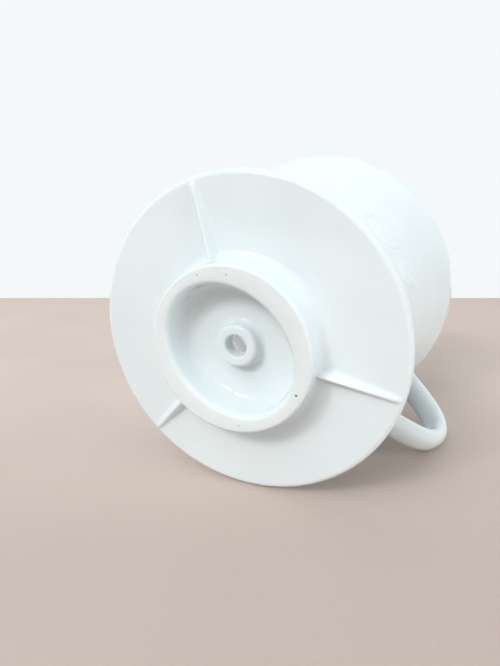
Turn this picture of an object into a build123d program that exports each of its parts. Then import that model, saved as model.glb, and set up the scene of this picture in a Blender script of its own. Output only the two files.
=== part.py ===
from build123d import *
import math
import os

os.makedirs("parts", exist_ok=True)

# Porcelain pour over filter holder with one drip hole, standing on its foot ring.
# Origin: on the drip axis at the foot face.  +Z up, handle towards +X.  Millimetres.

# ------------------------------------------------------------------ driving dimensions
flange_r = 62.0            # saucer flange, outer radius
flange_under_z = 11.8      # flange underside above the foot face
flange_top_z = 16.2        # flange top face, which is also the chamber floor
flange_edge_round = 2.15   # rounding of the flange edge

foot_r = 31.5              # foot ring, outer radius (locates in a cup mouth)
foot_face_round = 0.9      # outer rounding of the foot face
foot_straight_z = 5.8      # the ring wall is straight up to here, then opens a little
foot_top_r = 31.62
# oval recess inside the foot ring: (z, semi-axis along X, semi-axis along Y)
recess = [(0.0, 27.6, 24.1), (0.25, 27.05, 23.55), (0.8, 26.75, 23.25), (4.0, 26.3, 22.8),
          (6.5, 25.5, 22.0), (8.3, 24.1, 20.8), (9.7, 22.3, 19.4), (10.8, 20.2, 17.8),
          (11.6, 17.8, 16.1), (12.05, 15.0, 14.2), (12.2, 12.6, 12.4)]
foot_split_z = 6.5         # foot ring carries the chamber floor from here
foot_root_round = 3.7      # fillet from foot ring to flange underside
foot_coil_r = 31.0         # the coil that makes this fillet is seated half a millimetre into the foot ring
foot_seat_z = 12.1         # and with the foot ring a little way into the flange underside

floor_r = 27.0             # chamber floor disc radius
floor_under_z = 12.2       # underside of the floor near the nozzle

drip_r = 4.2               # drip hole radius
drip_top_r = 7.6           # funnel from the chamber floor down to the drip hole
drip_funnel_z = 13.2       # bottom of that funnel
nozzle_r = 8.0             # drip nozzle outer radius
nozzle_end_z = 6.9         # nozzle end face
nozzle_root_r = 11.0       # where the nozzle root meets the floor
nozzle_root_round = 2.2

wall_top_z = 108.0         # top of the conical wall, where the rim band starts
wall_a0, wall_b0 = 32.1, 16.5      # outer semi-axes of the wall line at the flange top
wall_r1 = 66.42                    # outer radius at the top of the wall
wall_in_a0, wall_in_b0 = 27.6, 11.7    # inner semi-axes at the chamber floor
wall_in_r1 = 61.3                      # inner radius at the top of the wall
wall_flare = [(0.0, 3.2), (0.4, 2.2), (1.1, 1.2), (2.1, 0.5), (3.4, 0.12), (4.4, 0.0)]

rim_r = 67.0               # rim, outer radius
rim_in_r = 61.9            # rim, inner radius
rim_top_z = 115.2          # overall height
rim_round = 2.1

vent_rib_angles = [-28.5, 91.5, 211.5]   # under the flange, from the handle direction
vent_rib_w = 4.6
vent_rib_r0, vent_rib_r1 = 31.0, 61.0
vent_rib_h36, vent_rib_slope = 5.1, 4.1 / 24     # height at radius 36, and how fast it runs out towards the edge

paper_rib_angles = [-44.0, -22.0, 0.0, 22.0, 44.0]   # about the middle of each wide wall
paper_rib_w, paper_rib_proud = 2.4, 1.2
paper_rib_z0, paper_rib_z1 = 26.0, 86.0

handle_w, handle_t = 11.6, 8.2           # strap section: across, and through
# centre line of the strap in the XZ plane, root to root
handle_path = [(47.9, 46.5), (70.5, 54.8), (89.4, 68.8), (90.7, 85.9), (83.6, 95.4), (67.8, 101.1)]
handle_radii = [33.4, 19.5, 11.8, 17.3]
# root joints: (distance back from the strap end, growth of the strap section)
lower_flare = [(2.2, 0.35), (4.2, 1.2), (6.2, 2.6), (14.0, 9.0)]
upper_flare = [(1.8, 0.35), (3.4, 1.1), (4.8, 2.1), (9.0, 5.4)]

bean_l, bean_w, bean_gap, bean_proud = 15.0, 10.0, 1.5, 0.9
bean_z = 80.0
bean_angles = [-28.5, -9.5, 9.5, 28.5]   # about the middle of the -Y wall


# ------------------------------------------------------------------ helpers
def rounded_ring(corners):
    """Ring about Z from a closed outline of (radius, z, corner rounding)."""
    n = len(corners)
    cuts = []
    for i, (x, z, rad) in enumerate(corners):
        p = Vector(x, 0, z)
        a = Vector(corners[i - 1][0], 0, corners[i - 1][1])
        b = Vector(corners[(i + 1) % n][0], 0, corners[(i + 1) % n][1])
        if rad <= 0:
            cuts.append((p, None, p))
            continue
        u, v = (a - p).normalized(), (b - p).normalized()
        half = math.acos(max(-1.0, min(1.0, u.dot(v)))) / 2
        d = rad / math.tan(half)
        w = (u + v).normalized()
        c = p + w * (rad / math.sin(half))
        cuts.append((p + u * d, c - w * rad, p + v * d))
    edges = []
    for i in range(n):
        t1, mid, t2 = cuts[i]
        if mid is not None:
            edges.append(ThreePointArc(t1, mid, t2))
        nxt = cuts[(i + 1) % n][0]
        if (nxt - t2).length > 1e-5:
            edges.append(Line(t2, nxt))
    return revolve(Face(Wire(edges)), Axis.Z, 360)


def ellipse_at(z, a, b):
    """Elliptical face at height z, long axis along X."""
    return Plane.XY.offset(z) * Ellipse(a, b)


def lerp(p, q, s):
    return p + (q - p) * s


def wall_out(z):
    s = (z - flange_top_z) / (wall_top_z - flange_top_z)
    return lerp(wall_a0, wall_r1, s), lerp(wall_b0, wall_r1, s)


def wall_in(z):
    s = (z - flange_top_z) / (wall_top_z - flange_top_z)
    return lerp(wall_in_a0, wall_in_r1, s), lerp(wall_in_b0, wall_in_r1, s)


def cone(z0, z1, law, grow=0.0):
    a0, b0 = law(z0)
    a1, b1 = law(z1)
    return loft([ellipse_at(z0, a0 + grow, b0 + grow), ellipse_at(z1, a1 + grow, b1 + grow)], ruled=True)


def save(shape, name):
    shape.label = name
    export_step(shape, "parts/" + name + ".step")
    print(name, "solids", len(shape.solids()), "volume", round(sum(s.volume for s in shape.solids()), 1))


def group(shapes):
    return Compound(children=[s for one in shapes for s in one.solids()])


# ------------------------------------------------------------------ foot, floor, nozzle, flange
recess_faces = [ellipse_at(-1.0, recess[0][1], recess[0][2])]
recess_faces += [ellipse_at(z, a, b) for z, a, b in recess]
recess_solid = loft(recess_faces, ruled=True)

coil_out_r = foot_top_r + foot_root_round
coil_z = flange_under_z - foot_root_round
foot_blank = rounded_ring([
    (10.0, 0, 0), (foot_r, 0, foot_face_round), (foot_r, foot_straight_z, 0),
    (foot_top_r, coil_z, 0), (foot_coil_r, coil_z, 0),
    (foot_coil_r, foot_seat_z, 0), (floor_r, foot_seat_z, 0),
    (floor_r, foot_split_z, 0), (10.0, foot_split_z, 0)])
foot_ring = foot_blank - recess_solid

# coil of clay worked into the corner between foot ring and flange
foot_joint = rounded_ring([
    (foot_coil_r, coil_z, 0), (foot_top_r, coil_z, 0), (foot_top_r, flange_under_z, foot_root_round),
    (coil_out_r, flange_under_z, 0), (coil_out_r, foot_seat_z, 0), (foot_coil_r, foot_seat_z, 0)])

saucer_flange = rounded_ring([
    (floor_r, foot_seat_z, 0), (coil_out_r, foot_seat_z, 0), (coil_out_r, flange_under_z, 0),
    (flange_r, flange_under_z, flange_edge_round), (flange_r, flange_top_z, flange_edge_round),
    (floor_r, flange_top_z, 0)])

floor_blank = rounded_ring([
    (floor_r, foot_split_z, 0), (floor_r, flange_top_z, 0),
    (nozzle_root_r, flange_top_z, 0), (nozzle_root_r, foot_split_z, 0)])
chamber_floor = floor_blank - recess_solid

drip_nozzle = rounded_ring([
    (drip_r, nozzle_end_z, 0.5), (nozzle_r, nozzle_end_z, 1.5),
    (nozzle_r + 0.2, floor_under_z, nozzle_root_round), (nozzle_root_r, floor_under_z, 0),
    (nozzle_root_r, flange_top_z, 0), (drip_top_r, flange_top_z, 0), (drip_r, drip_funnel_z, 0)])

# ------------------------------------------------------------------ wall and rim
outer_line = cone(flange_top_z, wall_top_z, wall_out)
cavity = cone(flange_top_z, wall_top_z, wall_in)
flare_faces = []
for dz, grow in wall_flare:
    a, b = wall_out(flange_top_z + dz)
    flare_faces.append(ellipse_at(flange_top_z + dz, a + grow, b + grow))
a, b = wall_out(wall_top_z)
flare_faces.append(ellipse_at(wall_top_z, a, b))
outer_solid = loft(flare_faces, ruled=True)
cone_wall = outer_solid - cavity

rim_band = rounded_ring([
    (wall_in_r1, wall_top_z, 0), (wall_r1, wall_top_z, 0),
    (rim_r + 0.02, wall_top_z + 3.4, 12.0),
    (rim_r, rim_top_z, rim_round), (rim_in_r, rim_top_z, rim_round),
    (rim_in_r - 0.1, wall_top_z + 3.2, 12.0)])

# ------------------------------------------------------------------ wedge-shaped vent ribs under the flange
def rib_crest(r):
    return flange_under_z - (vent_rib_h36 - (r - 36.0) * vent_rib_slope)


ribs = []
for ang in vent_rib_angles:
    side = Polyline((vent_rib_r0, 0, rib_crest(vent_rib_r0)), (vent_rib_r1, 0, rib_crest(vent_rib_r1)),
                    (vent_rib_r1, 0, flange_under_z + 0.8), (vent_rib_r0, 0, flange_under_z + 0.8), close=True)
    bar = extrude(Face(Wire(side.edges())), vent_rib_w / 2, dir=(0, 1, 0), both=True)
    crest = bar.faces().sort_by(Axis.Z)[0]
    bar = fillet(crest.edges().filter_by(Axis.Y, reverse=True) + crest.edges().filter_by(Axis.Y).sort_by(Axis.X)[-1:], 1.1)
    bar = Rot(0, 0, ang) * bar
    keep = Pos(0, 0, flange_under_z - 5) * Cylinder(flange_r - 0.4, 20)
    bar = (bar & keep) - saucer_flange - foot_joint - foot_ring
    ribs.append(bar)
vent_ribs = group(ribs)

# ------------------------------------------------------------------ paper ribs inside both wide walls
bars = []
for side in (1, -1):
    for off in paper_rib_angles:
        t = math.radians(90.0 * side + off)
        pts = []
        for z in (paper_rib_z0, paper_rib_z1):
            ai, bi = wall_in(z)
            pts.append(Vector(ai * math.cos(t), bi * math.sin(t), z))
        am, bm = wall_in((paper_rib_z0 + paper_rib_z1) / 2)
        d = pts[1] - pts[0]
        tang = Vector(-am * math.sin(t), bm * math.cos(t), 0)
        n = d.cross(tang).normalized()
        mid = (pts[0] + pts[1]) * 0.5
        if n.dot(mid) > 0:
            n = n * -1
        frame = Plane(origin=mid, x_dir=d.normalized(), z_dir=n)
        bar = Box(d.length, paper_rib_w, paper_rib_proud * 2)
        top = bar.faces().sort_by(Axis.Z)[-1].edges()
        bar = fillet(top, 0.7)
        bars.append((frame * bar) & cavity)
paper_ribs = group(bars)

# ------------------------------------------------------------------ handle: one strap loop and two root joints
path = FilletPolyline(*[Vector(x, 0, z) for x, z in handle_path], radius=handle_radii)
start = Plane(origin=path @ 0, x_dir=(0, 1, 0), z_dir=path % 0)
end = Plane(origin=path @ 1, x_dir=(0, 1, 0), z_dir=path % 1)
strap = Ellipse(handle_w / 2, handle_t / 2)
handle_loop = sweep(start * strap, path=path)


def root_joint(plane, back, flare):
    """Flared clay joint from the strap end back onto the wall."""
    o = plane.origin
    faces = [plane * strap]
    for dist, grow in flare:
        at = Plane(origin=o + plane.z_dir * (back * dist), x_dir=plane.x_dir, z_dir=plane.z_dir)
        faces.append(at * Ellipse(handle_w / 2 + grow, handle_t / 2 + grow))
    body = loft(faces, ruled=True)
    return body - outer_solid - Pos(0, 0, (wall_top_z + rim_top_z) / 2) * Cylinder(rim_r + 0.05, rim_top_z - wall_top_z)


handle_lower_joint = root_joint(start, -1, lower_flare)
handle_upper_joint = root_joint(end, 1, upper_flare)

# ------------------------------------------------------------------ raised beans on the -Y wall
proud = cone(flange_top_z + 30, wall_top_z - 8, wall_out, bean_proud) - cone(flange_top_z + 20, wall_top_z, wall_out)
halves = []
for off in bean_angles:
    t = math.radians(-90 + off)
    a, b = wall_out(bean_z)
    p = Vector(a * math.cos(t), b * math.sin(t), bean_z)
    nrm = Vector(math.cos(t) / a, math.sin(t) / b, 0).normalized()
    across = Vector(-nrm.Y, nrm.X, 0)
    frame = Plane(origin=p - nrm * 6, x_dir=across, z_dir=nrm)
    bean = extrude(Ellipse(bean_l / 2, bean_w / 2), 14)
    slot = Pos(0, 0, 7) * Box(bean_l + 2, bean_gap, 16)
    bean = frame * (Rot(0, 0, 25) * (bean - slot))
    for half in bean.solids():
        halves.append(half & proud)
relief_beans = group(halves)

# ------------------------------------------------------------------ write one file per node
for name, shape in [
    ("cone_wall", cone_wall), ("rim_band", rim_band), ("chamber_floor", chamber_floor),
    ("drip_nozzle", drip_nozzle), ("saucer_flange", saucer_flange), ("foot_ring", foot_ring),
    ("foot_joint", foot_joint), ("vent_ribs", vent_ribs), ("paper_ribs", paper_ribs), ("handle_loop", handle_loop),
    ("handle_lower_joint", handle_lower_joint), ("handle_upper_joint", handle_upper_joint),
    ("relief_beans", relief_beans)]:
    save(shape, name)
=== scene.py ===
import math
import bpy
import numpy as np
from mathutils import Matrix, Vector


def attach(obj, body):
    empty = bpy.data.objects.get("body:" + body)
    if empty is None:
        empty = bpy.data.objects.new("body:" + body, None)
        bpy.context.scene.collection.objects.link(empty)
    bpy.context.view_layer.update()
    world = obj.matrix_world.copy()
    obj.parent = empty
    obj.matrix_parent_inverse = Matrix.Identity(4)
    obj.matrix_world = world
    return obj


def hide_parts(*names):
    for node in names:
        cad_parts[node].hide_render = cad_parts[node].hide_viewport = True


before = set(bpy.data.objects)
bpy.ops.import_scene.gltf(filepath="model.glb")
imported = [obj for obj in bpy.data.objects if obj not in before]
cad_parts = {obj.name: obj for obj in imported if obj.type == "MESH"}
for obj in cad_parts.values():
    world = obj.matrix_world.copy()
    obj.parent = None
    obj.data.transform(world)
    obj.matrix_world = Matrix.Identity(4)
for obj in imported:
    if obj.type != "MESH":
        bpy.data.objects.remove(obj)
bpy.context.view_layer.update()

MM = 0.001
SEG = 288                    # segments round the drip axis

# ------------------------------------------------------------------ dimensions, mm (row frame: +Z drip axis, +X handle)
FLANGE_R, UNDER_Z, TOP_Z, EDGE = 62.0, 11.8, 16.2, 2.15
FOOT_R, FOOT_ROUND, SPLIT_Z, ROOT = 31.5, 1.1, 6.5, 3.7
FLOOR_R = 27.0
RECESS = [(0.0, 27.8, 24.3), (0.18, 27.2, 23.7), (0.7, 26.55, 23.05), (1.5, 26.1, 22.6), (3.4, 25.85, 22.4),
          (6.5, 25.5, 22.1), (8.3, 25.0, 21.6), (9.7, 23.9, 20.7), (10.8, 22.3, 19.3),
          (11.6, 19.9, 17.5), (12.05, 16.6, 15.1), (12.2, 13.0, 12.6), (12.2, 11.0, 11.0)]
DRIP_R, NOZZLE_R, NOZZLE_Z, NOZZLE_ROOT = 4.2, 8.0, 6.9, 11.0
FUNNEL_R, FUNNEL_Z = 7.6, 13.2
COIL_R, SEAT_Z = 31.0, 12.1
FLOOR_UNDER = 12.2
WALL_TOP = 108.0
A0, B0, R1 = 32.1, 16.5, 66.42
AI0, BI0, RI1 = 27.6, 11.7, 61.3
RIM_TOP = 115.2


def wall_out(z):
    s = (z - TOP_Z) / (WALL_TOP - TOP_Z)
    return A0 + (R1 - A0) * s, B0 + (R1 - B0) * s


def wall_in(z):
    s = (z - TOP_Z) / (WALL_TOP - TOP_Z)
    return AI0 + (RI1 - AI0) * s, BI0 + (RI1 - BI0) * s


# ------------------------------------------------------------------ mesh helpers
def outline(corners, arc_deg=7.0, step=2.5):
    """Open or closed outline of (r, z, rounding) corners as dense points."""
    n = len(corners)
    cuts = []
    for i, (x, z, rad) in enumerate(corners):
        p = np.array([x, z], float)
        a = np.array(corners[i - 1][:2], float)
        b = np.array(corners[(i + 1) % n][:2], float)
        if rad <= 0:
            cuts.append([p])
            continue
        u, v = (a - p) / np.linalg.norm(a - p), (b - p) / np.linalg.norm(b - p)
        half = math.acos(max(-1.0, min(1.0, float(u @ v)))) / 2
        d = rad / math.tan(half)
        w = (u + v) / np.linalg.norm(u + v)
        c = p + w * rad / math.sin(half)
        t1, t2 = p + u * d, p + v * d
        a1, a2 = math.atan2(*(t1 - c)[::-1]), math.atan2(*(t2 - c)[::-1])
        da = (a2 - a1 + math.pi) % (2 * math.pi) - math.pi
        k = max(2, int(abs(math.degrees(da)) / arc_deg) + 1)
        cuts.append([c + rad * np.array([math.cos(a1 + da * q / k), math.sin(a1 + da * q / k)]) for q in range(k + 1)])
    pts = []
    for i in range(n):
        pts += cuts[i]
        s, e = cuts[i][-1], cuts[(i + 1) % n][0]
        L = np.linalg.norm(e - s)
        k = int(L / step)
        for q in range(1, k + 1):
            if k and q / (k + 1) < 1:
                pts.append(s + (e - s) * q / (k + 1))
    out = [pts[0]]
    for p in pts[1:]:
        if np.linalg.norm(p - out[-1]) > 1e-4:
            out.append(p)
    if np.linalg.norm(out[0] - out[-1]) < 1e-4:
        out.pop()
    return np.array(out)


def make(name, verts, faces, sharp=38.0):
    """Mesh object from millimetre vertices, normals outwards, smooth except at real edges."""
    me = bpy.data.meshes.new(name)
    me.from_pydata((np.asarray(verts, float) * MM).tolist(), [], faces)
    me.validate()
    import bmesh
    bm = bmesh.new()
    bm.from_mesh(me)
    bmesh.ops.remove_doubles(bm, verts=bm.verts, dist=1e-7)
    bmesh.ops.recalc_face_normals(bm, faces=bm.faces)
    bm.to_mesh(me)
    bm.free()
    for p in me.polygons:
        p.use_smooth = True
    me.set_sharp_from_angle(angle=math.radians(sharp))
    ob = bpy.data.objects.new(name, me)
    bpy.context.scene.collection.objects.link(ob)
    return ob


def closed_sheet(P):
    """Faces of a grid P[n, m, 3] closed both ways."""
    n, m = P.shape[:2]
    idx = np.arange(n * m).reshape(n, m)
    f = []
    for i in range(n):
        i2 = (i + 1) % n
        for j in range(m):
            j2 = (j + 1) % m
            f.append((int(idx[i, j]), int(idx[i2, j]), int(idx[i2, j2]), int(idx[i, j2])))
    return P.reshape(-1, 3), f


def tube(P):
    """Grid P[n, m, 3]: m is closed, n is open and capped with a point at each end."""
    n, m = P.shape[:2]
    idx = np.arange(n * m).reshape(n, m)
    f = []
    for i in range(n - 1):
        for j in range(m):
            j2 = (j + 1) % m
            f.append((int(idx[i, j]), int(idx[i + 1, j]), int(idx[i + 1, j2]), int(idx[i, j2])))
    V = np.vstack([P.reshape(-1, 3), P[0].mean(0)[None], P[-1].mean(0)[None]])
    a, b = n * m, n * m + 1
    for j in range(m):
        j2 = (j + 1) % m
        f.append((a, int(idx[0, j]), int(idx[0, j2])))
        f.append((b, int(idx[-1, j2]), int(idx[-1, j])))
    return V, f


T = np.linspace(0, 2 * math.pi, SEG, endpoint=False)


def polar_oval(a, b, th):
    return a * b / np.sqrt((b * np.cos(th)) ** 2 + (a * np.sin(th)) ** 2)


def lathe(pts):
    P = np.zeros((SEG, len(pts), 3))
    P[:, :, 0] = np.outer(np.cos(T), pts[:, 0])
    P[:, :, 1] = np.outer(np.sin(T), pts[:, 0])
    P[:, :, 2] = pts[:, 1][None]
    return P


def catmull(pts, per=6):
    """Smooth curve through rows of any dimension."""
    p = np.asarray(pts, float)
    q = np.vstack([2 * p[0] - p[1], p, 2 * p[-1] - p[-2]])
    out = []
    for i in range(1, len(q) - 2):
        p0, p1, p2, p3 = q[i - 1:i + 3]
        d1, d2, d3 = (max(np.linalg.norm(y - x), 1e-6) ** 0.5 for x, y in ((p0, p1), (p1, p2), (p2, p3)))
        m1 = (p2 - p1) + d2 * ((p1 - p0) / d1 - (p2 - p0) / (d1 + d2))
        m2 = (p2 - p1) + d2 * ((p3 - p2) / d3 - (p3 - p1) / (d2 + d3))
        for k in range(per):
            s = k / per
            out.append((2 * s ** 3 - 3 * s ** 2 + 1) * p1 + (s ** 3 - 2 * s ** 2 + s) * m1
                       + (-2 * s ** 3 + 3 * s ** 2) * p2 + (s ** 3 - s ** 2) * m2)
    out.append(p[-1])
    return np.array(out)


pieces = {}


def keep(ob, node):
    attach(ob, "root")
    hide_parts(node)
    pieces[node] = ob
    return ob


# ------------------------------------------------------------------ foot ring and chamber floor share one oval recess curve
curve = catmull(RECESS, 7)
lower = curve[curve[:, 0] < SPLIT_Z - 0.05]
upper = curve[curve[:, 0] > SPLIT_Z + 0.05]
i0 = np.searchsorted(curve[:, 0], SPLIT_Z)
split = np.array([SPLIT_Z, np.interp(SPLIT_Z, curve[:i0 + 1, 0], curve[:i0 + 1, 1]), np.interp(SPLIT_Z, curve[:i0 + 1, 0], curve[:i0 + 1, 2])])


def oval_rows(rows):
    """Grid part for recess rows (z, a, b)."""
    P = np.zeros((SEG, len(rows), 3))
    for j, (z, a, b) in enumerate(rows):
        r = polar_oval(a, b, T)
        P[:, j, 0], P[:, j, 1], P[:, j, 2] = r * np.cos(T), r * np.sin(T), z
    return P


COIL_Z = UNDER_Z - ROOT
FOOT_TOP_R = 31.62
COIL_OUT = FOOT_TOP_R + ROOT
face = outline([(28.8, 0, 0), (FOOT_R, 0, FOOT_ROUND), (FOOT_R, 5.8, 0), (FOOT_TOP_R, COIL_Z, 0), (COIL_R, COIL_Z, 0), (COIL_R, SEAT_Z, 0),
                (FLOOR_R, SEAT_Z, 0), (FLOOR_R, SPLIT_Z, 0)], step=1.2)
# keep the outer side only: from the face out, up, over the seat and down to the joint plane
i_start = int(np.argmin(np.hypot(face[:, 0] - 28.8, face[:, 1])))
face = np.roll(face, -i_start, axis=0)
i_end = int(np.argmin(np.hypot(face[:, 0] - FLOOR_R, face[:, 1] - SPLIT_Z)))
outer_side = lathe(face[:i_end + 1])
inner_side = oval_rows(np.vstack([split[None], lower[::-1]]))
P = np.concatenate([outer_side, inner_side], axis=1)
keep(make("foot_ring", *closed_sheet(P)), "foot_ring")

up_rows = oval_rows(np.vstack([split[None], upper]))
blank = lathe(np.array([(NOZZLE_ROOT, 14.0), (NOZZLE_ROOT, TOP_Z), (15.0, TOP_Z), (20.0, TOP_Z), (FLOOR_R, TOP_Z), (FLOOR_R, 11.0), (FLOOR_R, SPLIT_Z)]))
P = np.concatenate([up_rows, blank], axis=1)
keep(make("chamber_floor", *closed_sheet(P)), "chamber_floor")

# ------------------------------------------------------------------ drip nozzle
pts = outline([(DRIP_R, NOZZLE_Z, 0.95), (NOZZLE_R, NOZZLE_Z, 1.25), (NOZZLE_R + 0.2, FLOOR_UNDER, 2.1),
               (NOZZLE_ROOT, FLOOR_UNDER, 0), (NOZZLE_ROOT, TOP_Z, 0), (FUNNEL_R, TOP_Z, 0.9), (DRIP_R, FUNNEL_Z, 1.4)],
              arc_deg=6, step=1.2)
keep(make("drip_nozzle", *closed_sheet(lathe(pts))), "drip_nozzle")

# ------------------------------------------------------------------ saucer flange
pts = outline([(FLOOR_R, SEAT_Z, 0), (COIL_OUT, SEAT_Z, 0), (COIL_OUT, UNDER_Z, 0),
               (FLANGE_R, UNDER_Z, EDGE), (FLANGE_R, TOP_Z, EDGE), (FLOOR_R, TOP_Z, 0)], arc_deg=6, step=2.5)
keep(make("saucer_flange", *closed_sheet(lathe(pts))), "saucer_flange")

# ------------------------------------------------------------------ coil of clay in the corner between foot ring and flange
pts = outline([(COIL_R, COIL_Z, 0), (FOOT_TOP_R, COIL_Z, 0), (FOOT_TOP_R, UNDER_Z, ROOT), (COIL_OUT, UNDER_Z, 0),
               (COIL_OUT, SEAT_Z, 0), (COIL_R, SEAT_Z, 0)], arc_deg=6, step=1.5)
keep(make("foot_joint", *closed_sheet(lathe(pts))), "foot_joint")

# ------------------------------------------------------------------ wall: flared paper cone, elliptical at the floor and round at the rim
FL = 4.6
rows = []                       # (z, a, b) outer going up
for q in np.linspace(0, 1, 10):
    ang = q * math.pi / 2
    dz = FL * (1 - math.cos(ang))
    g = FL * (1 - math.sin(ang))
    a, b = wall_out(TOP_Z + dz)
    rows.append((TOP_Z + dz - (0.02 if q == 0 else 0), a + g, b + g))
for z in np.linspace(TOP_Z + FL + 2.2, WALL_TOP, 36):
    rows.append((z, *wall_out(z)))
inner = []
for z in np.linspace(WALL_TOP, TOP_Z + 3.0, 34):
    inner.append((z, *wall_in(z)))
for q in np.linspace(0.15, 1, 7):                # soft corner where the wall meets the chamber floor
    ang = q * math.pi / 2
    dz = 3.0 * (1 - math.sin(ang))
    g = -2.2 * (1 - math.cos(ang))
    a, b = wall_in(TOP_Z + dz)
    inner.append((TOP_Z + dz - (0.03 if q == 1 else 0), a + g, b + g))
allrows = rows + inner
P = np.zeros((SEG, len(allrows), 3))
for j, (z, a, b) in enumerate(allrows):
    P[:, j, 0], P[:, j, 1], P[:, j, 2] = a * np.cos(T), b * np.sin(T), z
keep(make("cone_wall", *closed_sheet(P)), "cone_wall")

# ------------------------------------------------------------------ rim
pts = outline([(RI1, WALL_TOP, 0), (R1, WALL_TOP, 0), (67.02, WALL_TOP + 3.2, 14.0),
               (67.0, RIM_TOP, 2.1), (61.9, RIM_TOP, 2.1), (61.8, WALL_TOP + 3.2, 12.0)], arc_deg=6, step=1.5)
keep(make("rim_band", *closed_sheet(lathe(pts))), "rim_band")


# ------------------------------------------------------------------ vent ribs under the flange
def under(r):
    """Height of the flange underside at radius r, with the root fillet and the edge rounding."""
    r = np.asarray(r, float)
    z = np.full(r.shape, UNDER_Z)
    c0 = FOOT_TOP_R + ROOT
    m = r < c0
    z[m] = UNDER_Z - ROOT + np.sqrt(np.clip(ROOT ** 2 - (c0 - np.clip(r[m], FOOT_TOP_R, None)) ** 2, 0, None))
    w = r < FOOT_TOP_R                     # the ring wall itself
    z[w] = COIL_Z - np.clip((FOOT_TOP_R - r[w]) / 0.12, 0, 1) * (COIL_Z - 5.0) - np.clip(FOOT_R - r[w], 0, None) * 8.0
    e = r > FLANGE_R - EDGE
    z[e] = UNDER_Z + EDGE - np.sqrt(np.clip(EDGE ** 2 - (np.clip(r[e], None, FLANGE_R) - (FLANGE_R - EDGE)) ** 2, 0, None))
    return z


def smin(a, b, k):
    h = np.clip(0.5 + 0.5 * (b - a) / k, 0, 1)
    return b * (1 - h) + a * h - k * h * (1 - h)


RIB_W, RIB_END = 3.0, 61.9


def rib_height(R_, U_):
    """Flange underside and rib surface: a wedge, tall at the foot ring, that leaves the flange without an edge."""
    base = under(np.hypot(R_, U_))
    tall = 5.1 - (R_ - 36.0) * 4.1 / 24
    e = np.clip((RIB_END - R_) / 5.0, 0, 1)
    end = 1 - (1 - e) ** 2.6
    x = np.abs(U_) / (RIB_W / 2)
    lift = 1.0 / (1 + x ** 2.8)
    crest = UNDER_Z + 1.4 - (0.8 * tall + 1.4) * lift * end + np.clip(base - UNDER_Z, 0, None) * 0.9
    return base, smin(base, crest, 1.1)


def rib_reach(r):
    """Half width over which the rib stands proud of the flange at radius r."""
    u = np.linspace(0, 6.0, 601)
    base, z = rib_height(np.full(u.shape, r), u)
    on = np.nonzero(base - z > 0.0015)[0]
    return u[on[-1]] if len(on) else 0.0


scan = np.linspace(31.2, 61.98, 1600)
live = [r for r in scan if rib_reach(r) > 0.15]
r_in, r_out = live[0], live[-1]
mid, half = (r_in + r_out) / 2, (r_out - r_in) / 2
rows_r = mid - half * np.cos(np.linspace(0, math.pi, 92))
verts, faces = [], []
for ang in (-28.5, 91.5, 211.5):
    reach = np.array([max(rib_reach(r), 0.15) for r in rows_r])
    k = np.sin(np.linspace(-1, 1, 33) * math.pi / 2 * 0.92) / math.sin(math.pi / 2 * 0.92)
    U_ = reach[:, None] * k[None]
    R_ = np.repeat(rows_r[:, None], U_.shape[1], 1)
    base, z = rib_height(R_, U_)
    z = np.minimum(z, base - 0.0015)
    top = base + 0.45
    c, s_ = math.cos(math.radians(ang)), math.sin(math.radians(ang))
    n, m = R_.shape
    low = np.stack([R_ * c - U_ * s_, R_ * s_ + U_ * c, z], -1)
    high = np.stack([R_ * c - U_ * s_, R_ * s_ + U_ * c, top], -1)
    o = len(verts)
    verts += low.reshape(-1, 3).tolist() + high.reshape(-1, 3).tolist()
    A = o + np.arange(n * m).reshape(n, m)
    B = A + n * m
    for i in range(n - 1):
        for j in range(m - 1):
            faces.append((int(A[i, j]), int(A[i, j + 1]), int(A[i + 1, j + 1]), int(A[i + 1, j])))
            faces.append((int(B[i, j]), int(B[i + 1, j]), int(B[i + 1, j + 1]), int(B[i, j + 1])))
    ring = [(i, 0) for i in range(n)] + [(n - 1, j) for j in range(1, m)] + [(i, m - 1) for i in range(n - 2, -1, -1)] + [(0, j) for j in range(m - 2, 0, -1)]
    for q in range(len(ring)):
        p, w = ring[q], ring[(q + 1) % len(ring)]
        faces.append((int(A[p]), int(A[w]), int(B[w]), int(B[p])))
keep(make("vent_ribs", verts, faces, 60), "vent_ribs")

# ------------------------------------------------------------------ paper ribs on the two wide inner walls
verts, faces = [], []
for side in (1, -1):
    for off in (-44.0, -22.0, 0.0, 22.0, 44.0):
        t = math.radians(90.0 * side + off)
        zz = np.linspace(26.0, 86.0, 48)
        m = 18
        ph = np.linspace(0, 2 * math.pi, m, endpoint=False)
        P = np.zeros((len(zz), m, 3))
        for i, z in enumerate(zz):
            a, b = wall_in(z)
            p = np.array([a * math.cos(t), b * math.sin(t), z])
            tg = np.array([-a * math.sin(t), b * math.cos(t), 0.0])
            tg /= np.linalg.norm(tg)
            a2, b2 = wall_in(z + 1)
            gen = np.array([a2 * math.cos(t), b2 * math.sin(t), z + 1]) - p
            gen /= np.linalg.norm(gen)
            nrm = np.cross(gen, tg)
            nrm /= np.linalg.norm(nrm)
            if nrm[:2] @ p[:2] > 0:
                nrm = -nrm
            e = min(1.0, (z - 26.0) / 3.0 + 0.02, (86.0 - z) / 3.0 + 0.02)
            k = math.sqrt(max(0.0, 1 - (1 - e) ** 2))
            P[i] = p + np.outer(np.cos(ph) * 1.35 * (0.35 + 0.65 * k), tg) + np.outer(np.sin(ph) * 1.25 * k - 0.05, nrm)
        V, F = tube(P)
        o = len(verts)
        verts += V.tolist()
        faces += [tuple(v + o for v in f) for f in F]
keep(make("paper_ribs", verts, faces, 60), "paper_ribs")

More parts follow.
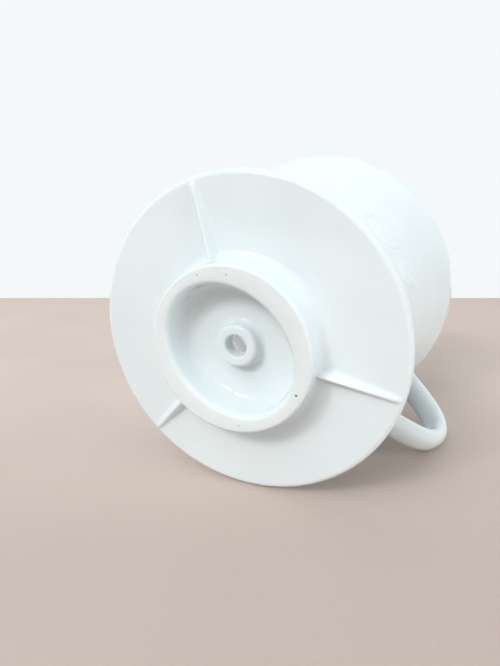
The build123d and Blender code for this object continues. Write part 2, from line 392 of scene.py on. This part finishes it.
# ------------------------------------------------------------------ handle
HPTS = [(43.2, 45.92), (47.32, 46.76), (51.32, 47.76), (55.23, 48.91), (59.05, 50.24), (62.81, 51.74), (66.52, 53.44),
        (70.21, 55.32), (73.87, 57.42), (77.48, 59.73), (80.91, 62.31), (84.01, 65.17), (86.64, 68.37), (88.68, 71.93),
        (89.97, 75.89), (90.43, 80.14), (90.02, 84.4), (88.71, 88.36), (86.48, 91.75), (83.44, 94.47), (79.82, 96.65),
        (75.85, 98.39), (71.77, 99.8), (67.82, 101.01), (64.22, 102.12)]
hc = catmull(HPTS, 6)
M = 56
TH = np.linspace(0, 2 * math.pi, M, endpoint=False)
HW, HT = 11.6, 8.25


def strap_section(ct, st):
    """Softly squared oval: across (Y) and through."""
    e = 0.86
    return np.sign(ct) * np.abs(ct) ** e * HW / 2, np.sign(st) * np.abs(st) ** e * HT / 2


cy, cn = strap_section(np.cos(TH), np.sin(TH))


def at(i):
    p = hc[i]
    tg = hc[min(i + 1, len(hc) - 1)] - hc[max(i - 1, 0)]
    tg /= np.linalg.norm(tg)
    return p, tg, np.array([-tg[1], tg[0]])


def ring_at(i, k=1.0):
    p, tg, nn = at(i)
    R_ = np.zeros((M, 3))
    R_[:, 0] = p[0] + nn[0] * cn * k
    R_[:, 1] = cy * k
    R_[:, 2] = p[1] + nn[1] * cn * k
    return R_


i_lo = int(np.argmin(np.hypot(hc[:, 0] - 49.2, hc[:, 1] - 47.4)))
i_hi = int(np.argmin(np.hypot(hc[:, 0] - 68.6, hc[:, 1] - 100.9)))
P = np.stack([ring_at(i) for i in range(i_lo, i_hi + 1)])
keep(make("handle_loop", *tube(P), 50), "handle_loop")


def wall_f(p):
    a, b = wall_out(p[2])
    return (p[0] / a) ** 2 + (p[1] / b) ** 2 - 1


def wall_grad(p):
    e = 1e-3
    return np.array([(wall_f(p + d) - wall_f(p - d)) / (2 * e) for d in (np.array([e, 0, 0]), np.array([0, e, 0]), np.array([0, 0, e]))])


def onto_wall(p, d=None, it=12):
    p = np.array(p, float)
    for _ in range(it):
        g = wall_grad(p)
        if d is None:
            p = p - g * wall_f(p) / (g @ g)
        else:
            p = p - d * wall_f(p) / (g @ d)
    return p


def root(i, back, spread, name, node):
    ring = ring_at(i)
    p, tg, nn = at(i)
    d = np.array([tg[0], 0, tg[1]]) * back
    cen = np.array([p[0], 0, p[1]])
    hitc = onto_wall(cen, d)
    NB = 14
    P = np.zeros((NB + 3, M, 3))
    for j in range(M):
        S = ring[j]
        K = onto_wall(S, d)
        g = wall_grad(K)
        g /= np.linalg.norm(g)
        o = S - cen
        o -= g * (o @ g)
        o /= np.linalg.norm(o)
        W = onto_wall(K + o * spread) - 0.0
        for k in range(NB):
            s = k / (NB - 1)
            s2 = s
            P[k, j] = (1 - s2) ** 2 * S + 2 * s2 * (1 - s2) * K + s2 ** 2 * W
        gw = wall_grad(W)
        gw /= np.linalg.norm(gw)
        P[NB - 1, j] = W - gw * 0.06
        P[NB, j] = W - gw * 1.0 - o * 0.8
        P[NB + 1, j] = hitc + (W - hitc) * 0.5 - g * 1.2
        P[NB + 2, j] = hitc + (W - hitc) * 0.12 - g * 1.2
    keep(make(name, *tube(P), 60), node)


root(i_lo, -1, 4.4, "handle_lower_joint", "handle_lower_joint")
root(i_hi, 1, 3.2, "handle_upper_joint", "handle_upper_joint")

# ------------------------------------------------------------------ raised beans on the -Y wall
verts, faces = [], []
BL, BW, BZ, BH = 15.0, 10.0, 80.0, 0.55
for off in (-28.5, -9.5, 9.5, 28.5):
    t = math.radians(-90 + off)
    a, b = wall_out(BZ)
    p = np.array([a * math.cos(t), b * math.sin(t), BZ])
    g = wall_grad(p)
    g /= np.linalg.norm(g)
    ac = np.array([-g[1], g[0], 0.0])
    ac /= np.linalg.norm(ac)
    upv = np.cross(g, ac)
    tilt = math.radians(25)
    e1 = ac * math.cos(tilt) + upv * math.sin(tilt)
    e2 = -ac * math.sin(tilt) + upv * math.cos(tilt)
    NR, NA = 18, 72
    ph = np.linspace(0, 2 * math.pi, NA, endpoint=False)
    P = np.zeros((NR + 2, NA, 3))
    for i in range(NR):
        rho = (i + 0.5) / NR if i < NR - 1 else 1.0
        for j in range(NA):
            x, y = rho * math.cos(ph[j]), rho * math.sin(ph[j])
            q = p + e1 * x * BL / 2 + e2 * y * BW / 2
            q = onto_wall(q)
            gg = wall_grad(q)
            gg /= np.linalg.norm(gg)
            dome = (1 - rho ** 2.6) ** 0.72 if rho < 1 else 0.0
            crease = y * BW / 2 - 0.55 * math.sin(x * 2.6)
            groove = math.exp(-(crease / 0.75) ** 2)
            h = BH * dome * (1 - 0.75 * groove) - 0.05
            P[NR - 1 - i, j] = q + gg * h
    P = P[:NR]
    # back closed inside the wall
    outer = P[0]
    back1 = outer - g * 0.8
    back2 = p + (outer - p) * 0.4 - g * 0.9
    P = np.concatenate([back2[None], back1[None], P], axis=0)
    V, F = tube(P)
    o = len(verts)
    verts += V.tolist()
    faces += [tuple(v + o for v in f) for f in F]
keep(make("relief_beans", verts, faces, 70), "relief_beans")


# ------------------------------------------------------------------ materials
def nodes_of(mat):
    mat.use_nodes = True
    nt = mat.node_tree
    nt.nodes.clear()
    return nt, nt.nodes, nt.links


def add(nt, kind, **props):
    n = nt.nodes.new(kind)
    for k, v in props.items():
        setattr(n, k, v)
    return n


def ramp(nt, src, lo, hi, c0, c1):
    r = add(nt, "ShaderNodeValToRGB")
    r.color_ramp.elements[0].position, r.color_ramp.elements[1].position = lo, hi
    r.color_ramp.elements[0].color, r.color_ramp.elements[1].color = (*c0, 1), (*c1, 1)
    nt.links.new(src, r.inputs[0])
    return r


def maprange(nt, src, a, b, c, d, smooth=True):
    m = add(nt, "ShaderNodeMapRange")
    m.interpolation_type = "SMOOTHSTEP" if smooth else "LINEAR"
    m.inputs["From Min"].default_value, m.inputs["From Max"].default_value = a, b
    m.inputs["To Min"].default_value, m.inputs["To Max"].default_value = c, d
    nt.links.new(src, m.inputs["Value"])
    return m.outputs[0]


def noise_tex(nt, vec, scale, detail=2.0, rough=0.5):
    n = add(nt, "ShaderNodeTexNoise")
    n.inputs["Scale"].default_value = scale
    n.inputs["Detail"].default_value = detail
    n.inputs["Roughness"].default_value = rough
    nt.links.new(vec, n.inputs["Vector"])
    return n.outputs["Fac"]


def math_node(nt, op, a, b=None):
    m = add(nt, "ShaderNodeMath", operation=op)
    for i, v in enumerate((a, b)):
        if v is None:
            continue
        if isinstance(v, (int, float)):
            m.inputs[i].default_value = v
        else:
            nt.links.new(v, m.inputs[i])
    return m.outputs[0]


GLAZE_A, GLAZE_B = (0.722, 0.800, 0.822), (0.754, 0.830, 0.850)
BISQUE_A, BISQUE_B = (0.730, 0.792, 0.806), (0.762, 0.820, 0.832)


def glaze_material(name, foot=False, pinhole_shade_pts=()):
    mat = bpy.data.materials.new(name)
    nt, nd, ln = nodes_of(mat)
    out = add(nt, "ShaderNodeOutputMaterial")
    b = add(nt, "ShaderNodeBsdfPrincipled")
    ln.new(b.outputs[0], out.inputs[0])
    b.inputs["IOR"].default_value = 1.52
    b.inputs["Subsurface Weight"].default_value = 0.0
    b.inputs["Coat Weight"].default_value = 0.35
    b.inputs["Coat Roughness"].default_value = 0.04
    b.inputs["Coat IOR"].default_value = 1.5
    geo = add(nt, "ShaderNodeTexCoord")
    vec = geo.outputs["Object"]
    sep = add(nt, "ShaderNodeSeparateXYZ")
    ln.new(vec, sep.inputs[0])
    # colour: faint clouds of thicker glaze, and rare tiny iron specks
    big = noise_tex(nt, vec, 38.0, 3.0, 0.55)
    col = ramp(nt, big, 0.35, 0.68, GLAZE_A, GLAZE_B)
    fine = noise_tex(nt, vec, 900.0, 2.0, 0.6)
    vor = add(nt, "ShaderNodeTexVoronoi", feature="F1")
    vor.inputs["Scale"].default_value = 62.0
    vor.inputs["Randomness"].default_value = 1.0
    ln.new(vec, vor.inputs["Vector"])
    speck = maprange(nt, vor.outputs["Distance"], 0.010, 0.022, 0.22, 0.0)
    mix = add(nt, "ShaderNodeMix", data_type="RGBA")
    ln.new(speck, mix.inputs["Factor"])
    ln.new(col.outputs[0], mix.inputs["A"])
    mix.inputs["B"].default_value = (0.35, 0.31, 0.27, 1)
    colour = mix.outputs["Result"]
    rough = maprange(nt, noise_tex(nt, vec, 120.0, 3.0, 0.6), 0.3, 0.7, 0.05, 0.10)
    # bump: slow ripple of the glaze surface over fine orange peel
    ripple = noise_tex(nt, vec, 85.0, 2.0, 0.45)
    peel = noise_tex(nt, vec, 1500.0, 1.0, 0.5)
    h = math_node(nt, "ADD", math_node(nt, "MULTIPLY", ripple, 1.0), math_node(nt, "MULTIPLY", peel, 0.035))
    bump = add(nt, "ShaderNodeBump")
    bump.inputs["Strength"].default_value = 0.55
    bump.inputs["Distance"].default_value = 0.00022
    if foot:
        # bare, wiped face: everything within half a millimetre of the foot plane, with a wandering edge
        wander = math_node(nt, "MULTIPLY", math_node(nt, "SUBTRACT", noise_tex(nt, vec, 260.0, 2.0, 0.5), 0.5), 0.0003)
        zz = math_node(nt, "ADD", sep.outputs["Z"], wander)
        bare = maprange(nt, zz, 0.00030, 0.00062, 1.0, 0.0)
        grain = noise_tex(nt, vec, 2600.0, 3.0, 0.7)
        soft = noise_tex(nt, vec, 150.0, 3.0, 0.6)
        bcol = ramp(nt, soft, 0.3, 0.7, BISQUE_A, BISQUE_B)
        gdark = maprange(nt, grain, 0.28, 0.45, 0.30, 0.0)
        gm = add(nt, "ShaderNodeMix", data_type="RGBA")
        ln.new(gdark, gm.inputs["Factor"])
        ln.new(bcol.outputs[0], gm.inputs["A"])
        gm.inputs["B"].default_value = (0.60, 0.585, 0.57, 1)
        cm = add(nt, "ShaderNodeMix", data_type="RGBA")
        ln.new(bare, cm.inputs["Factor"])
        ln.new(colour, cm.inputs["A"])
        ln.new(gm.outputs["Result"], cm.inputs["B"])
        colour = cm.outputs["Result"]
        rm = add(nt, "ShaderNodeMix", data_type="FLOAT")
        ln.new(bare, rm.inputs["Factor"])
        ln.new(rough, rm.inputs["A"])
        rm.inputs["B"].default_value = 0.62
        rough = rm.outputs["Result"]
        gh = math_node(nt, "MULTIPLY", math_node(nt, "MULTIPLY", grain, 0.55), bare)
        h = math_node(nt, "ADD", h, gh)
        b.inputs["Coat Weight"].default_value = 0.0
        # pin holes in the bare face: small bump dents, with the shade inside each painted as a near-black dot in the
        # colour
        for x, y, r, dark in pinhole_shade_pts:
            vd = add(nt, "ShaderNodeVectorMath", operation="DISTANCE")
            ln.new(vec, vd.inputs[0])
            vd.inputs[1].default_value = (x, y, 0.0)
            f = maprange(nt, vd.outputs["Value"], r * 0.45, r, dark, 0.0)
            pm = add(nt, "ShaderNodeMix", data_type="RGBA")
            ln.new(f, pm.inputs["Factor"])
            ln.new(colour, pm.inputs["A"])
            pm.inputs["B"].default_value = (0.07, 0.06, 0.055, 1)
            colour = pm.outputs["Result"]
            h = math_node(nt, "SUBTRACT", h, math_node(nt, "MULTIPLY", f, 1.6))
    ln.new(h, bump.inputs["Height"])
    ln.new(colour, b.inputs["Base Color"])
    ln.new(rough, b.inputs["Roughness"])
    ln.new(bump.outputs[0], b.inputs["Normal"])
    return mat


# pin holes in the foot face (x, y, radius, strength): the shade inside each hole is painted as a dark dot
PINHOLE_SHADE_PTS = [(-0.02573, -0.01347, 0.00042, 0.5), (-0.01781, -0.02146, 0.00042, 0.5), (0.02750, -0.00806, 0.00055, 0.95), (0.02152, 0.01869, 0.00042, 0.5)]
glaze = glaze_material("porcelain_glaze")
foot_mat = glaze_material("foot_porcelain", foot=True, pinhole_shade_pts=PINHOLE_SHADE_PTS)
for node, ob in pieces.items():
    ob.data.materials.clear()
    ob.data.materials.append(foot_mat if node == "foot_ring" else glaze)

# ------------------------------------------------------------------ camera: the object lies on its side, seen from under the foot
right = Vector((0.69600417, -0.58723778, 0.41319486))
up = Vector((-0.7123626, -0.63692568, 0.29472903))
fwd = Vector((-0.09009839, 0.4994772, 0.86162916))
cam_pos = Vector((0.01667313, -0.09738105, -0.14655418))
cam_data = bpy.data.cameras.new("camera")
cam_data.sensor_width = 36.0
cam_data.sensor_fit = "AUTO"
cam_data.lens = 500.0 / 666.0 * 36.0
cam_data.clip_start, cam_data.clip_end = 0.01, 20
cam = bpy.data.objects.new("camera", cam_data)
bpy.context.scene.collection.objects.link(cam)
m = Matrix.Identity(4)
for i in range(3):
    m[i][0], m[i][1], m[i][2], m[i][3] = right[i], up[i], -fwd[i], cam_pos[i]
cam.matrix_world = m
bpy.context.scene.camera = cam

# ------------------------------------------------------------------ stage: the surface the object lies on
n_up = Vector((-0.6609161, -0.74885912, 0.04898897)).normalized()
co = np.vstack([np.array([v.co for v in pieces[k].data.vertices]) for k in pieces])
level = float((co @ np.array(n_up)).min())
ex = (right - n_up * right.dot(n_up)).normalized()
ey = (fwd - n_up * fwd.dot(n_up)).normalized()
foot_of_cam = cam_pos + n_up * (level - cam_pos.dot(n_up))


def on_floor(x, y):
    return foot_of_cam + ex * x + ey * y


def floor_distance(px_y):
    """Distance along the floor to the point seen at that image row, straight ahead."""
    d = fwd + up * (-(px_y - 333.0) / 500.0)
    t = (level - cam_pos.dot(n_up)) / d.dot(n_up)
    return (d * t).dot(ey)


far = floor_distance(298.0)
NX, NY = 24, 24
fv, ff = [], []
for i in range(NY + 1):
    for j in range(NX + 1):
        fv.append(tuple(on_floor(-0.9 + 1.8 * j / NX, -0.25 + (far + 0.25) * i / NY)))
for i in range(NY):
    for j in range(NX):
        a = i * (NX + 1) + j
        ff.append((a, a + 1, a + NX + 2, a + NX + 1))
fm = bpy.data.meshes.new("stage_floor")
fm.from_pydata(fv, [], ff)
floor = bpy.data.objects.new("stage_floor", fm)
bpy.context.scene.collection.objects.link(floor)
if fm.polygons[0].normal.dot(n_up) < 0:
    fm.flip_normals()

mat = bpy.data.materials.new("stage_floor")
nt, nd, ln = nodes_of(mat)
out = add(nt, "ShaderNodeOutputMaterial")
b = add(nt, "ShaderNodeBsdfPrincipled")
b.inputs["Roughness"].default_value = 0.8
b.inputs["Specular IOR Level"].default_value = 0.2
tc = add(nt, "ShaderNodeTexCoord")
fleck = noise_tex(nt, tc.outputs["Object"], 900.0, 3.0, 0.65)
cloud = noise_tex(nt, tc.outputs["Object"], 14.0, 2.0, 0.5)
fcol = ramp(nt, cloud, 0.3, 0.7, (0.665, 0.570, 0.517), (0.698, 0.601, 0.548))
fl = maprange(nt, fleck, 0.30, 0.44, 0.22, 0.0)
mx = add(nt, "ShaderNodeMix", data_type="RGBA")
ln.new(fl, mx.inputs["Factor"])
ln.new(fcol.outputs[0], mx.inputs["A"])
mx.inputs["B"].default_value = (0.46, 0.37, 0.32, 1)
# a little darker towards the camera, where the light falls off
along = add(nt, "ShaderNodeVectorMath", operation="DOT_PRODUCT")
ln.new(tc.outputs["Object"], along.inputs[0])
along.inputs[1].default_value = tuple(ey)
y_near, y_far = (on_floor(0.0, floor_distance(r)).dot(ey) for r in (690.0, 360.0))
fall = maprange(nt, along.outputs["Value"], y_near, y_far, 0.51, 0.0)
dk = add(nt, "ShaderNodeMix", data_type="RGBA")
ln.new(fall, dk.inputs["Factor"])
ln.new(mx.outputs["Result"], dk.inputs["A"])
dk.inputs["B"].default_value = (0.330, 0.270, 0.243, 1)
ln.new(dk.outputs["Result"], b.inputs["Base Color"])
# the surface is seen from its front only, so it doesn't hide the object in views from behind it
gm = add(nt, "ShaderNodeNewGeometry")
lp = add(nt, "ShaderNodeLightPath")
see = math_node(nt, "MULTIPLY", gm.outputs["Backfacing"], lp.outputs["Is Camera Ray"])
tr = add(nt, "ShaderNodeBsdfTransparent")
ms = add(nt, "ShaderNodeMixShader")
ln.new(see, ms.inputs[0])
ln.new(b.outputs[0], ms.inputs[1])
ln.new(tr.outputs[0], ms.inputs[2])
ln.new(ms.outputs[0], out.inputs[0])
fm.materials.append(mat)

# ------------------------------------------------------------------ light
centre = Vector((0.0, 0.0, 0.03))
BACK_LOW, BACK_HIGH = (0.617, 0.540, 0.497), (0.905, 0.940, 0.948)


def area(name, offset, size, power, colour=(1, 1, 1)):
    ld = bpy.data.lights.new(name, "AREA")
    ld.shape = "RECTANGLE"
    ld.size, ld.size_y = size
    ld.energy = power
    ld.color = colour
    lo = bpy.data.objects.new(name, ld)
    bpy.context.scene.collection.objects.link(lo)
    pos = centre + ex * offset[0] + ey * offset[1] + n_up * offset[2]
    lo.location = pos
    lo.rotation_euler = (centre - pos).to_track_quat("-Z", "Y").to_euler()
    return lo


def soft(name, az, el, size, dist, power, colour=(1, 1, 1)):
    """Round soft light: az 0 to the right of the picture, 90 away from the camera; el above the floor; power at 1 m."""
    a, e = math.radians(az), math.radians(el)
    lo = area(name, (math.cos(a) * math.cos(e) * dist, math.sin(a) * math.cos(e) * dist, math.sin(e) * dist),
              (size, size), power * dist * dist, colour)
    lo.data.shape = "DISK"
    return lo


LIGHTS = [   # name, azimuth, elevation, size, distance, power
    ("key", -133, 35, 0.50, 2.0, 1.8), ("key_right", -115, 40, 0.60, 2.0, 1.8),
    ("key_left", -150, 30, 0.60, 2.0, 0.6), ("key_high", -133, 55, 0.80, 2.0, 1.4),
    ("front", -92, 14, 1.2, 1.5, 0.75), ("front_right", -45, 22, 1.0, 1.5, 0.4), ("right", -30, 14, 1.0, 1.5, 5.1),
    ("left_back", 150, 20, 1.0, 1.5, 1.1), ("left", 180, 15, 1.0, 1.5, 0.7),
    ("left_high", 180, 60, 1.0, 1.5, 0.6), ("above", -90, 65, 1.0, 1.5, 0.8),
]
for nm, az, el, size, dist, power in LIGHTS:
    soft(nm, az, el, size, dist, power).visible_glossy = False
# narrow strips that show as glints in the glaze
for nm, az, el, size, power in (("glint_a", -133, 36, (0.44, 0.28), 1.6), ("glint_b", -115, 30, (0.26, 0.08), 0.4)):
    lo = soft(nm, az, el, 1.0, 2.0, power)
    lo.data.shape = "RECTANGLE"
    lo.data.size, lo.data.size_y = size

# world: for the light, a dim room in front and a bright pale wall behind the object; for the eye, a plain pale
# backdrop that turns to floor colour below the horizon
world = bpy.data.worlds.new("world")
bpy.context.scene.world = world
world.use_nodes = True
nt = world.node_tree
bg = nt.nodes["Background"]
bg.inputs[1].default_value = 1.0
tc = add(nt, "ShaderNodeTexCoord")
db = add(nt, "ShaderNodeVectorMath", operation="DOT_PRODUCT")
nt.links.new(tc.outputs["Generated"], db.inputs[0])
db.inputs[1].default_value = tuple(ey)
room = ramp(nt, maprange(nt, db.outputs["Value"], 0.0, 0.5, 0.0, 1.0), 0.0, 1.0, (0.165, 0.170, 0.172), (0.72, 0.75, 0.76))
shine = ramp(nt, maprange(nt, db.outputs["Value"], 0.0, 0.5, 0.0, 1.0), 0.0, 1.0, (0.165, 0.170, 0.172), (0.95, 0.98, 0.99))
lp = add(nt, "ShaderNodeLightPath")
wall_mix = add(nt, "ShaderNodeMix", data_type="RGBA")
nt.links.new(lp.outputs["Is Glossy Ray"], wall_mix.inputs["Factor"])
nt.links.new(room.outputs[0], wall_mix.inputs["A"])
nt.links.new(shine.outputs[0], wall_mix.inputs["B"])
nt.links.new(wall_mix.outputs["Result"], bg.inputs[0])
dp = add(nt, "ShaderNodeVectorMath", operation="DOT_PRODUCT")
nt.links.new(tc.outputs["Generated"], dp.inputs[0])
dp.inputs[1].default_value = tuple(n_up)
hor = ramp(nt, maprange(nt, dp.outputs["Value"], -0.30, -0.19, 0.0, 1.0, False), 0.0, 1.0, BACK_LOW, BACK_HIGH)
hor.color_ramp.interpolation = "EASE"
back = add(nt, "ShaderNodeBackground")
back.inputs[1].default_value = 1.0
nt.links.new(hor.outputs[0], back.inputs[0])
ms = add(nt, "ShaderNodeMixShader")
nt.links.new(lp.outputs["Is Camera Ray"], ms.inputs[0])
nt.links.new(bg.outputs[0], ms.inputs[1])
nt.links.new(back.outputs[0], ms.inputs[2])
nt.links.new(ms.outputs[0], nt.nodes["World Output"].inputs[0])

bpy.context.scene.view_settings.view_transform = "Standard"
bpy.context.scene.view_settings.look = "None"
